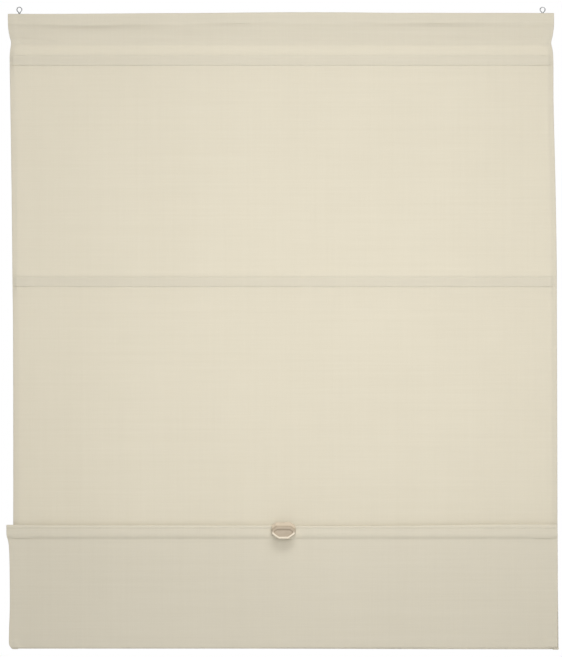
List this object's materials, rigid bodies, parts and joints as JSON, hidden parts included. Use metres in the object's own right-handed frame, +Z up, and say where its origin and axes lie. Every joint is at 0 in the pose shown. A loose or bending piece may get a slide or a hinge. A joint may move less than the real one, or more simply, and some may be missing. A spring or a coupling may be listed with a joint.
{
  "type": "roman blind",
  "caption": "Flat cream roman blind with stitched batten pockets, hung by wire eyes; battens lift and hold by magnets, with a small dished grip on the lowest",
  "frame": {"origin": "midway between the centres of the two hanging eyes", "axes": "+Z up, +X to the right as seen from the room, -Y towards the room"},
  "size_m": [1.008, 0.0294, 1.1787],
  "materials": {
    "cloth": "plain weave, cream",
    "eye_wire": "zinc plated wire",
    "rail": "mill finish",
    "rail_cap": "moulded",
    "batten": "zinc plated strip",
    "magnet_holder": "moulded",
    "magnet": "nickel plated",
    "grip": "moulded, beige",
    "screw": "zinc plated"
  },
  "bodies": {
    "hanging_top": {"hanging_eye_left": "eye_wire", "hanging_eye_right": "eye_wire", "top_rail": "rail", "rail_cap_left": "rail_cap", "rail_cap_right": "rail_cap", "top_pocket": "cloth", "heading_cloth": "cloth", "pocket_1": "cloth", "batten_1": "batten", "holder_1_left": "magnet_holder", "holder_1_right": "magnet_holder", "magnet_1_left": "magnet", "magnet_1_right": "magnet", "upper_cloth": "cloth"},
    "middle_batten": {"pocket_2": "cloth", "batten_2": "batten", "holder_2_left": "magnet_holder", "holder_2_right": "magnet_holder", "magnet_2_left": "magnet", "magnet_2_right": "magnet", "lower_cloth": "cloth"},
    "lower_batten": {"pocket_3": "cloth", "batten_3": "batten", "holder_3_left": "magnet_holder", "holder_3_right": "magnet_holder", "magnet_3_left": "magnet", "magnet_3_right": "magnet", "loop_back": "cloth"},
    "handle_rail": {"pocket_4": "cloth", "batten_4": "batten", "holder_4_left": "magnet_holder", "holder_4_right": "magnet_holder", "magnet_4_left": "magnet", "magnet_4_right": "magnet", "loop_front": "cloth", "bottom_flap": "cloth", "grip_base": "grip", "grip_cover": "grip", "grip_screws": "screw"}
  },
  "joints": [
    {"name": "upper_raise", "type": "slide", "parent": "hanging_top", "child": "middle_batten", "axis": [0, -0.0163, 0.9999], "range_m": [0, 0.40605], "deforming": ["upper_cloth"]},
    {"name": "lower_raise", "type": "slide", "parent": "middle_batten", "child": "lower_batten", "axis": [0, -0.0143, 0.9999], "range_m": [0, 0.46155], "deforming": ["lower_cloth"]},
    {"name": "rail_drop", "type": "slide", "parent": "lower_batten", "child": "handle_rail", "axis": [0, 0.0156, -0.9999], "range_m": [0, 0.42405], "deforming": ["loop_back", "loop_front"]}
  ]
}
